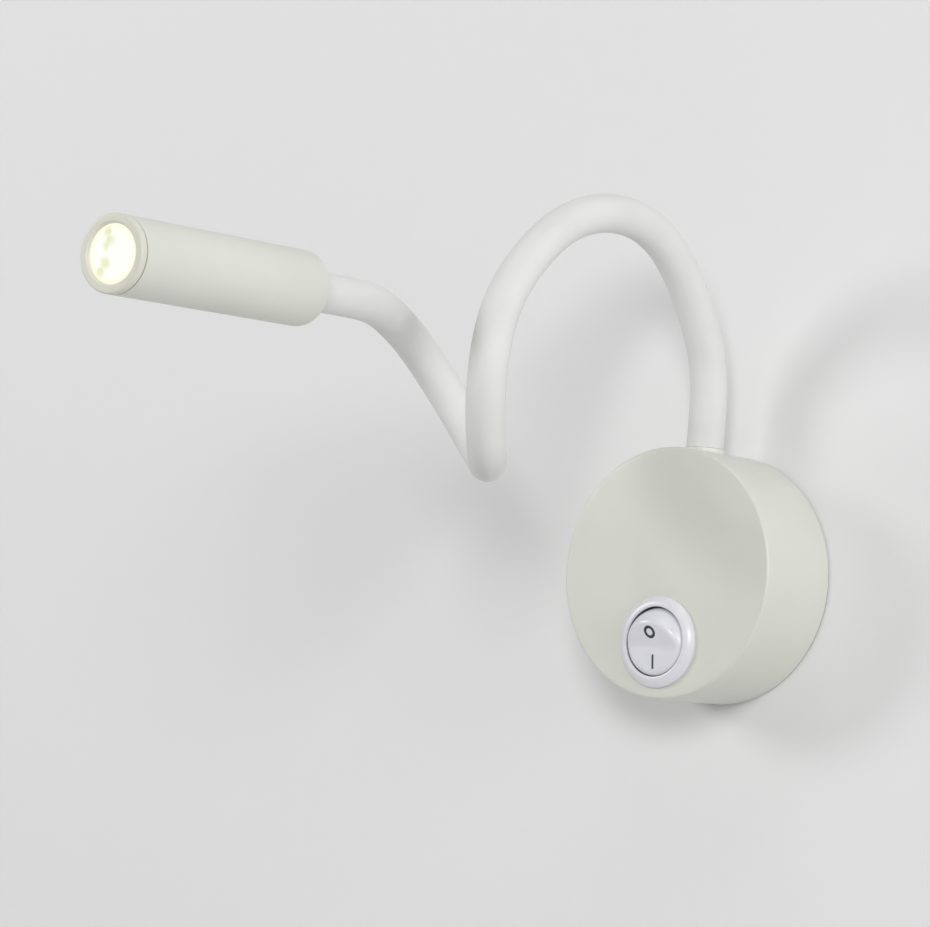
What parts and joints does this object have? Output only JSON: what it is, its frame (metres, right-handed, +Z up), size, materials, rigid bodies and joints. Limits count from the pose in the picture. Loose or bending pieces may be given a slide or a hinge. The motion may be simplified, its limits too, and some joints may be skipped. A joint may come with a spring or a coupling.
{
  "type": "bedside wall reading lamp",
  "caption": "Wall-mounted reading lamp with a drum base, a round rocker switch, a flexible white arm and a slim tube head with an LED spot",
  "frame": {"origin": "centre of the two wall-screw slots, on the wall plane, which is also the centre of the round base's rear face", "axes": "+Z up along the wall, -Y out of the wall into the room, +X to the right of someone who faces the wall"},
  "size_m": [0.1036, 0.266, 0.1542],
  "materials": {
    "cream_enamel": "baked satin enamel on spun aluminium",
    "white_gloss_plastic": "gloss moulded polycarbonate",
    "white_sleeve": "matte white silicone sleeve",
    "zinc_steel": "bright zinc plate",
    "brass": "bare turned brass",
    "plated_nut": "nickel plate",
    "white_plastic": "matte moulded polyamide",
    "grey_rubber": "soft moulded rubber",
    "circuit_board": "green solder mask on glass laminate",
    "spring_steel": "bare hardened steel windings",
    "lead_sheath": "white insulating sheath",
    "brown_wire": "brown insulation",
    "blue_wire": "blue insulation",
    "red_black_wire": "red insulation",
    "clear_lens": "clear moulded optic",
    "led_phosphor": "yellow phosphor dome",
    "aluminium": "machined"
  },
  "bodies": {
    "base": {"base_shell": "cream_enamel", "mounting_bracket": "zinc_steel", "shell_fixing_screws": "zinc_steel", "cable_bush": "grey_rubber", "terminal_block": "white_plastic", "terminal_sleeves": "brass", "terminal_clamp_screws": "zinc_steel", "block_fixing_screw": "zinc_steel", "earth_screw": "brass", "earth_washer": "plated_nut", "driver_case": "white_plastic", "driver_lid": "white_plastic", "driver_pad": "grey_rubber", "driver_board": "circuit_board", "switch_housing": "white_gloss_plastic", "switch_terminals": "brass", "live_wire": "brown_wire", "switched_wire": "brown_wire", "neutral_wire": "blue_wire", "arm_base_fitting": "plated_nut", "arm_base_washer": "zinc_steel", "arm_base_nut": "plated_nut", "hose": "white_sleeve", "lamp_lead": "lead_sheath", "gooseneck_core_1": "spring_steel"},
    "rocker": {"rocker": "white_gloss_plastic", "plunger": "white_plastic", "plunger_spring": "zinc_steel"},
    "contact_lever": {"contact_lever": "brass"},
    "arm_1": {"gooseneck_core_2": "spring_steel"},
    "arm_2": {"gooseneck_core_3": "spring_steel"},
    "arm_3": {"gooseneck_core_4": "spring_steel"},
    "arm_4": {"gooseneck_core_5": "spring_steel"},
    "arm_5": {"gooseneck_core_6": "spring_steel"},
    "head": {"gooseneck_core_7": "spring_steel", "head_fitting": "plated_nut", "head_nut": "plated_nut", "head_tube": "cream_enamel", "bezel_ring": "cream_enamel", "lens": "clear_lens", "lens_holder": "white_plastic", "led_board": "circuit_board", "led": "led_phosphor", "heat_sink": "aluminium", "board_screws": "zinc_steel", "led_leads": "red_black_wire"}
  },
  "joints": [
    {"name": "arm_lean", "type": "hinge", "parent": "base", "child": "arm_1", "pos_m": [0, -0.0183, 0.06345], "axis": [0, 1, 0], "range_deg": [-25, 25], "deforming": ["hose", "lamp_lead"]},
    {"name": "arm_rise", "type": "hinge", "parent": "arm_1", "child": "arm_2", "pos_m": [0, -0.05867, 0.10715], "axis": [1, 0, 0], "range_deg": [-20, 20], "deforming": ["hose", "lamp_lead"]},
    {"name": "arm_reach", "type": "hinge", "parent": "arm_2", "child": "arm_3", "pos_m": [0, -0.11701, 0.08464], "axis": [-1, 0, 0], "range_deg": [-20, 20], "deforming": ["hose", "lamp_lead"]},
    {"name": "arm_loop", "type": "hinge", "parent": "arm_3", "child": "arm_4", "pos_m": [-0.01462, -0.10721, 0.02735], "axis": [0.7815, 0.6239, 0], "range_deg": [-20, 20], "deforming": ["hose", "lamp_lead"]},
    {"name": "arm_swing", "type": "hinge", "parent": "arm_4", "child": "arm_5", "pos_m": [-0.05739, -0.08554, 0.05534], "axis": [-0.1193, -0.6726, -0.7303], "range_deg": [-15, 30], "deforming": ["hose", "lamp_lead"]},
    {"name": "head_nod", "type": "hinge", "parent": "arm_5", "child": "head", "pos_m": [-0.03492, -0.14101, 0.07003], "axis": [-0.9494, -0.3141, 0], "range_deg": [-35, 30], "deforming": ["hose", "lamp_lead"]},
    {"name": "rocker_tilt", "type": "hinge", "parent": "base", "child": "rocker", "pos_m": [0, -0.03, -0.02206], "axis": [-1, 0, 0], "range_deg": [0, 28]},
    {"name": "lever_tilt", "type": "hinge", "parent": "base", "child": "contact_lever", "pos_m": [0, -0.0209, -0.02206], "axis": [-1, 0, 0], "range_deg": [-16, 0]}
  ],
  "couplings": [
    {"joint": "lever_tilt", "follows": "rocker_tilt", "ratio": -0.57143}
  ]
}
